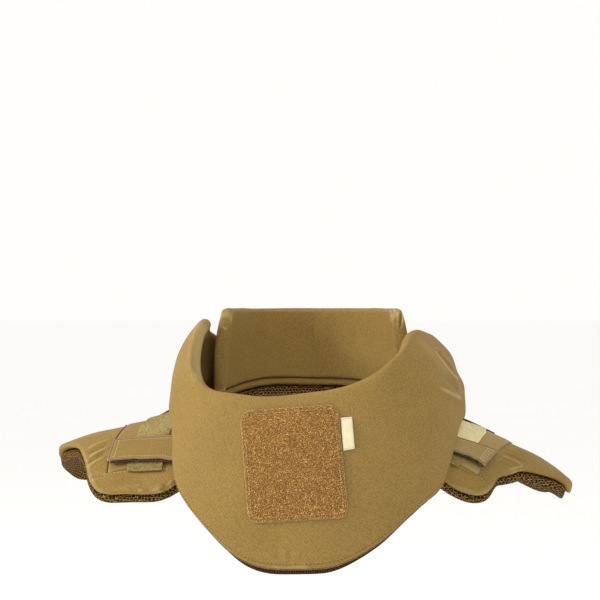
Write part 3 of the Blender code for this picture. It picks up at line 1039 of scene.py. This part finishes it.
def build_straps(side, wing, face):
    """The panel, webbing, hook tape and flap sewn on one wing, each on the one below it."""
    cloth = STRAP_CLOTH[side]
    outer = mm_plan(wing["panel_rear"]) + plan(face, wing["panel_edge"], PANEL_LIFT)
    inner = mm_plan(*wing["panel_inner"])

    def panel_spot(across, along):
        spot = along_line(outer, along).lerp(along_line(inner, along), across)
        edge = min(across * 14, (1 - along) * 18)
        return on_yoke(face, spot, 0.3 + PANEL_LIFT * min(1, edge + 0.3))

    names = names_of("strap_panel", side, "cloth", "coyote_nylon")
    size = size_of(outer[0], inner[0], inner[1], outer[-1])
    sheet_on(names, face, panel_spot, (24, 32), size, 1.0, cloth)

    brim = mm_plan(wing["webbing_rear"]) + plan(face, wing["webbing_edge"], WEBBING_LIFT)
    inside = [brim[0] + Vector((wing["webbing_width"] * MM, 0, 0))] + mm_plan(wing["webbing_corner"])

    def webbing_spot(across, along):
        spot = along_line(brim, along).lerp(along_line(inside, along), across)
        return on_yoke(face, spot, WEBBING_LIFT)

    names = names_of("loop_webbing", side, "strip", "khaki_webbing")
    size = size_of(brim[0], inside[0], inside[1], brim[-1])
    webbing = khaki_webbing(f"khaki_webbing_{side}", *WEBBING_TONES[side])
    strip = sheet_on(names, face, webbing_spot, (18, 44), size, 1.3, webbing, rounds=8)

    rear_edge = plan(face, wing["flap_rear"], FLAP_LIFT)
    front_edge = plan(face, wing["flap_front"], FLAP_LIFT + FLAP_LIP)
    for edge in (rear_edge, front_edge):
        inward = (edge[-1] - edge[-2]).normalized()
        edge.append(edge[-1] + inward * (FLAP_REACH * MM))

    def flap_place(across, along, lift):
        """Across from the rear edge to the lifted front edge, along from the free end in."""
        spot = along_line(rear_edge, along).lerp(along_line(front_edge, along), across)
        lip = FLAP_LIP * ease(0, 1, across * 2 - 1)
        return on_yoke(face, spot, lift + lip)

    def flap_spot(across, along):
        return flap_place(across, along, FLAP_LIFT)

    def tape_spot(across, along):
        return flap_place(0.05 + across * 0.99, 0.04 + along * 0.9, TAPE_LIFT - 0.9)

    names = names_of("hook_flap", side, "cloth", "coyote_nylon")
    size = size_of(rear_edge[0], front_edge[0], front_edge[-1], rear_edge[-1])
    flap = sheet_on(names, face, flap_spot, (18, 40), size, 1.4, cloth, bevel=0.5)
    names = names_of("hook_tape", side, "strip", "hook_tape")
    tape = sheet_on(names, face, tape_spot, (14, 30), (size[0], size[1] * 0.9), 0.9, HOOK_TAPE)
    trim_flap(side, wing["end_rows"], Face(flap), Face(tape), flap_place)
    nap_webbing(side, Face(strip), webbing_spot)
    bind_panel(side, face, outer, wing)


def nap_webbing(side, strip, webbing_spot):
    """The short fuzzy loops that stand on the webbing."""
    loop = small_loop(0.09, 0.34, 3)
    places = []
    tones = []
    for _ in range(NAP_LOOPS):
        along = random.uniform(0.01, 0.99)
        place, normal = strip.snapped(webbing_spot(random.uniform(0.02, 0.98), along))
        if normal.z < 0:
            continue
        lean = Vector([random.gauss(0, 0.4) for _ in range(3)])
        turn = Vector((random.gauss(0, 1), random.gauss(0, 1), random.gauss(0, 0.3)))
        places.append(standing(place - normal * (0.12 * MM), normal + lean, turn))
        # Loops on the front part of the webbing take a tone far below nought, which paints them in shade
        tones.append(min(max(random.gauss(0.45, 0.25) - 2.2 * ease(0.55, 0.72, along), -2), 1))
    repeated(f"loop_webbing_{side}_nap", loop, places, NAPS[side], "khaki_webbing", np.array(tones))


def bind_panel(side, face, outer, wing):
    """A dark cord along a panel's outer edge, which paints the shadow of the gap there, and the dark roll
    sewn along its rear edge.
    """
    parts = [part / 12 for part in range(13)]
    out = Vector((math.copysign(0.4 * MM, outer[0].x), 0, 0))
    edge = [on_yoke(face, along_line(outer, part) + out, 0.55) for part in parts]
    start, end = (Vector((x * MM, ROLL_BEHIND * MM, 0)) for x in wing["rear_roll"])
    drops = [ROLL_END_DROP * ease(0.6, 0, part) for part in parts]
    roll = [on_yoke(face, start.lerp(end, part), ROLL_LIFT - drop) for part, drop in zip(parts, drops)]
    # The cord along the outer edge is painted shadow
    for name, spots, radius, tape in (
        ("edge_shadow", edge, wing["edge_radius"], EDGE_SHADOWS[side]),
        ("rear_roll", roll, 1.3, ROLL_TAPE),
    ):
        line = [(place, face.snapped(place)[1]) for place in smooth_line(spots, 1.5 * MM)]
        piped(f"panel_{side}_{name}", line, radius, tape)


def trim_flap(side, end_rows, flap, tape, flap_place):
    """Stitching, edge tape and the hooks that show along the lower edge."""

    def row(start, end):
        """A straight row over the flap, from one part across and along it to another."""
        steps = [part / 13 for part in range(14)]
        spots = [[a + (b - a) * step for a, b in zip(start, end)] for step in steps]
        return [flap_place(across, along, FLAP_LIFT + 0.2) for across, along in spots]

    rear = row((0.02, 0.99), (0.02, 0.02))
    end = row((0.02, 0.015), (0.98, 0.015))
    fore = row((0.98, 0.02), (0.98, 0.99))
    rim = flap.laid(rear + end[1:-1] + fore, 1.2 * MM, 0.05 * MM)
    piped(f"flap_{side}_edge_tape", rim, 0.55, BINDING)
    for edge, across in (("rear", 0.10), ("front", 0.90)):
        seam = flap.laid(row((across, 0.02), (across, 0.99)), 0.8 * MM)
        stitched(f"flap_{side}_{edge}_stitches", seam, PINK_THREAD, 2.0, 1.5, 0.5)
    for number, part in enumerate(end_rows):
        bar = flap.laid(row((0.08, part), (0.92, part)), 0.8 * MM)
        stitched(f"flap_{side}_end_stitches_{number}", bar, PINK_THREAD, 1.5, 1.25, 0.55, 0.6)

    hook = bmesh.new()
    radii = {"radius1": 0.16 * MM, "radius2": 0.08 * MM}
    bmesh.ops.create_cone(hook, cap_ends=True, segments=5, depth=1.3 * MM, **radii)
    bmesh.ops.translate(hook, verts=hook.verts, vec=(0, 0, 0.5 * MM))
    places = []
    tones = []
    for _ in range(FLAP_HOOKS):
        spot = flap_place(random.uniform(0.93, 1.06), random.uniform(0.04, 0.92), TAPE_LIFT - 0.6)
        place, normal = tape.snapped(spot)
        lean = Vector((random.uniform(-0.6, 0.6), random.uniform(-0.9, -0.2), random.uniform(-0.5, 0.3)))
        places.append(standing(place, normal * 0.5 + lean, Vector((1, 0.2, 0.1))))
        tones.append(random.random())
    repeated(f"flap_{side}_hooks", hook, places, HOOKS, tones=np.array(tones))


# Badge


def bilinear(corners, across, up):
    """A pixel inside four corners, which are lower left, lower right, upper right and upper left."""
    low = Vector(corners[0]).lerp(Vector(corners[1]), across)
    high = Vector(corners[3]).lerp(Vector(corners[2]), across)
    return low.lerp(high, up)


def rounded(across, up):
    """Moves a place near a corner of the badge panel in to its rounded outline."""
    width, height = PATCH_SIZE
    x = (across - 0.5) * width
    y = (up - 0.5) * height
    inner_x = width / 2 - PATCH_CORNER
    inner_y = height / 2 - PATCH_CORNER
    over_x = abs(x) - inner_x
    over_y = abs(y) - inner_y
    if over_x > 0 and over_y > 0:
        reach = max(over_x, over_y)
        length = math.hypot(over_x, over_y)
        x = math.copysign(inner_x + over_x / length * reach, x)
        y = math.copysign(inner_y + over_y / length * reach, y)
    return x / width + 0.5, y / height + 0.5


def small_loop(wire, radius, steps):
    """A standing loop of fibre: half a ring, its sizes in mm."""
    loop = bmesh.new()
    bmesh.ops.create_circle(loop, segments=4, radius=wire * MM)
    bmesh.ops.translate(loop, verts=loop.verts, vec=(radius * MM, 0, 0))
    still = (0, 0, 0)
    wires = loop.edges[:]
    bmesh.ops.spin(loop, geom=wires, cent=still, axis=(0, 1, 0), dvec=still, angle=-math.pi, steps=steps)
    bmesh.ops.scale(loop, verts=loop.verts, vec=(1, 1, 1.45))
    bmesh.ops.recalc_face_normals(loop, faces=loop.faces)
    return loop


def build_badge(face):
    """The badge panel: its ground, its pile of loops, its edge and the stitches round it."""

    def patch_spot(across, up, lift=1.7):
        px, py = bilinear(PATCH_PIXELS, *rounded(across, up))
        place, normal = face.snapped(face.at_pixel(px, py))
        return place + normal * (lift * MM)

    names = ("loop_patch_ground", "loop_pile", "loop_patch")
    patch = sheet_on(names, face, patch_spot, (34, 38), PATCH_SIZE, 1.3, LOOP_GROUND, 0.4, 6)
    ground = Face(patch)
    loop = small_loop(0.15, 0.45, 4)
    places = []
    tones = []
    columns, rows = (int(side / PILE_PITCH) for side in PATCH_SIZE)
    for column in range(columns):
        for level in range(rows):
            across = (column + 0.5 + random.uniform(-0.4, 0.4)) / columns
            up = (level + 0.5 + random.uniform(-0.4, 0.4)) / rows
            place, normal = ground.snapped(patch_spot(*rounded(across, up)))
            lean = Vector([random.gauss(0, 0.32) for _ in range(3)])
            turn = Vector((random.gauss(0, 1), random.gauss(0, 0.3), random.gauss(0, 1)))
            size = Matrix.Diagonal((random.uniform(0.8, 1.35), 1, random.uniform(0.7, 1.15), 1))
            places.append(standing(place - normal * (0.2 * MM), normal + lean, turn) @ size)
            cluster = noise.noise(place / (1.6 * MM)) * 0.85
            tones.append(min(max(0.5 + cluster + random.gauss(0, 0.18), 0), 1))
    fibres = pile("loop_pile", (0.140, 0.058, 0.008), (1.0, 0.560, 0.130), (1.0, 0.75, 0.30))
    repeated("loop_patch_pile", loop, places, fibres, "loop_pile", np.array(tones))

    outline = []
    for side in range(4):
        for part in range(12):
            t = part / 12
            outline.append(((t, 0), (1, t), (1 - t, 1), (0, 1 - t))[side])
    rim = []
    border = []
    for across, up in outline:
        rim.append(patch_spot(across, up, 1.1))
        inside = [PATCH_SEAM + part * (1 - 2 * PATCH_SEAM) for part in (across, up)]
        border.append(patch_spot(*inside, 2.0))
    edge = face.laid(rim, 1.5 * MM, 0.7 * MM, True)
    piped("loop_patch_edge", edge[:-1], 0.6, LOOP_EDGE, "loop_pile", closed=True)
    line = [(place, face.snapped(place)[1]) for place in smooth_line(border, 1.0 * MM, True)]
    stitched("loop_patch_stitches", line, RUST_THREAD, 2.6, 2.1, 0.75)


def build_label(face):
    """The bare label, which stands out a little from the badge panel's edge."""

    def label_spot(across, up):
        px, py = bilinear(LABEL_PIXELS, across, up)
        place, normal = face.snapped(face.at_pixel(px, py))
        stand = 1.0 + 0.5 * math.sin(across * math.pi / 2) + 0.25 * math.sin(up * 5)
        return place + normal * (stand * MM)

    names = ("label_tab_tape", "cream_label", "label_tab")
    label = add_strip(names, cloth_grid((8, 20), LABEL_SIZE, label_spot), face, cream_label(), 0.55)
    bake_modifiers(label)
    tab = Face(label)
    for number, part in enumerate((0.05, 0.95)):
        ends = [label_spot(t, part) for t in (0.12, 0.5, 0.9)]
        stitched(f"label_stitches_{number}", tab.laid(ends, 0.5 * MM), PALE_THREAD, 1.5, 1.1, 0.4)


# Seams


def sew_collars(collar, back):
    """The stitch line above the collar's hem and its dark piped corner, and the back collar's seams."""
    face = Face(collar)
    above = [(angle, face.hem(angle)) for angle in HEM_ANGLES]
    hem, edge = ([face.beside(angle, low + up) for angle, low in above] for up in (HEM_ROW, HEM_EDGE))
    line = face.laid([place for place in hem if place], 1.0 * MM)
    stitched("collar_hem_stitches", line, DARK_THREAD, 2.7, 1.7, 0.5)
    line = face.laid([place for place in edge if place], 1.5 * MM, -0.2 * MM)
    piped("collar_hem_binding", line, 0.8, HEM_BINDING)

    rear = Face(back)
    for number, pixels in enumerate(BACK_SEAMS):
        line = rear.drawn(pixels, 0.8 * MM)
        stitched(f"back_collar_seam_stitches_{number}", line, TONAL_THREAD, 2.0, 1.5, 0.45)


def sew_yoke(cover, back):
    """The dark roll in the joint under the back collar, which paints the shade in that joint, and the seam
    across each wing.
    """
    face = Face(cover)
    rear = Face(back)
    joint = []
    for angle in JOINT_ANGLES:
        place = rear.beside(angle, rear.hem(angle, -0.02, 0.06) + JOINT_ROW)
        # Past the back collar's ends the far wall is met, and is left out
        if place and place.xy.dot(around(angle, 1, 0).xy) > NECK_RADIUS:
            joint.append(place)
    line = [(place, Vector((place.x, place.y, 0)).normalized()) for place in smooth_line(joint, 2.5 * MM)]
    inward = [(place - out * JOINT_IN - Vector((0, 0, JOINT_DOWN)), out) for place, out in line]
    piped("back_collar_joint", inward, 1.7, PAINTED_SHADOW_CLOTH)
    stitched("left_wing_seam_stitches", face.drawn(LEFT_SEAM, 0.8 * MM), PALE_THREAD, 2.5, 1.8, 0.6)
    stitched("right_wing_seam_stitches", face.drawn(RIGHT_SEAM, 0.8 * MM), DARK_THREAD, 2.5, 1.8, 0.5)


def set_stage():
    """A pale floor and background, soft light from the upper left and the photograph's camera."""
    scene = bpy.context.scene
    mesh = bmesh.new()
    bmesh.ops.create_grid(mesh, x_segments=1, y_segments=1, size=FLOOR_SIZE)
    bmesh.ops.translate(mesh, verts=mesh.verts, vec=(0, 0, FLOOR_HEIGHT))
    floor = add_object("floor", data_of("floor", mesh))
    floor.data.materials.append(floor_paint())

    scene.world = bpy.data.worlds.new("studio")
    scene.world.use_nodes = True
    ambient = scene.world.node_tree.nodes["Background"]
    ambient.inputs["Color"].default_value = (1.0, 0.99, 0.97, 1.0)
    ambient.inputs["Strength"].default_value = 1.0

    lamp = add_object("key", set_all(bpy.data.lights.new("key", "AREA"), **KEY_LIGHT))
    turned = (-KEY_PLACE).to_track_quat("-Z", "Y").to_euler()
    set_all(lamp, location=KEY_PLACE, rotation_euler=turned)

    lens = set_all(bpy.data.cameras.new("camera"), lens=LENS, sensor_width=SENSOR)
    scene.camera = add_object("camera", lens)
    set_all(scene.camera, location=EYE, rotation_euler=(math.pi / 2, 0, 0))
    scene.view_settings.view_transform = "Standard"


NYLON = coyote_nylon()
RUBBED_NYLON = coyote_nylon("rubbed_nylon", (0.44, 0.315, 0.120), (0.265, 0.180, 0.055))
BINDING = coyote_nylon("binding_tape", (0.47, 0.31, 0.16), (0.30, 0.19, 0.09))
# Nearly black cloth as painted shadow: in the gap along the left panel's edge and in the joint under the
# back collar
PAINTED_SHADOW_CLOTH = coyote_nylon("painted_shadow_cloth", (0.10, 0.062, 0.026), (0.045, 0.027, 0.011))
MESH_LINING, HEM_LINING, ROLL_TAPE = (spacer_mesh(name, *look) for name, look in MESHES.items())
PALE_THREAD = thread("pale_thread", (0.36, 0.25, 0.13), (0.66, 0.50, 0.30))
PINK_THREAD = thread("pink_tan_thread", (0.42, 0.28, 0.17), (0.78, 0.58, 0.40))
DARK_THREAD = thread("dark_thread", (0.045, 0.028, 0.012), (0.13, 0.085, 0.036))
TONAL_THREAD = thread("tonal_thread", (0.30, 0.20, 0.08), (0.50, 0.36, 0.17))
RUST_THREAD = thread("rust_thread", (0.22, 0.12, 0.045), (0.60, 0.38, 0.16))
# Painted shadow along the right panel's seamed edge
PAINTED_SEAM_SHADOW = thread("seam_shadow", (0.20, 0.13, 0.045), (0.36, 0.25, 0.095))
LOOP_EDGE = thread("loop_edge", (0.20, 0.11, 0.035), (0.52, 0.33, 0.13))
HEM_BINDING = thread("hem_binding", (0.07, 0.038, 0.014), (0.24, 0.14, 0.055))
HOOKS = pile("hook_fibres", (0.010, 0.008, 0.006), (0.12, 0.085, 0.045), (0.50, 0.40, 0.25))
HOOK_TAPE = flecked("hook_tape", 0.55, (0.0007, 2.0, 0.7), (0.45, 0.68), HOOK_SHADES, 0.6)
LOOP_GROUND = flecked("loop_backing", 0.95, (0.0009, 3.0, 0.7), (0.35, 0.7), GROUND_SHADES, 0.5)
STRAP_CLOTH = {"left": NYLON, "right": RUBBED_NYLON}
# Cords of painted shadow along each panel's outer edge
EDGE_SHADOWS = {"left": PAINTED_SHADOW_CLOTH, "right": PAINTED_SEAM_SHADOW}
NAPS = {side: nap_fibres(f"webbing_nap_{side}", *tones) for side, tones in WEBBING_TONES.items()}

set_stage()
lining, cover, back, collar, facing = build_pads()
for piece, folds in ((collar, COLLAR_FOLDS), (cover, COVER_FOLDS), (back, BACK_FOLDS)):
    crease(piece, folds)
finish_pads(lining, cover, back, collar, facing)
yoke_face = Face(cover)
for side, wing in WINGS.items():
    build_straps(side, wing, yoke_face)
collar_face = Face(collar)
build_badge(collar_face)
build_label(collar_face)
sew_collars(collar, back)
sew_yoke(cover, back)
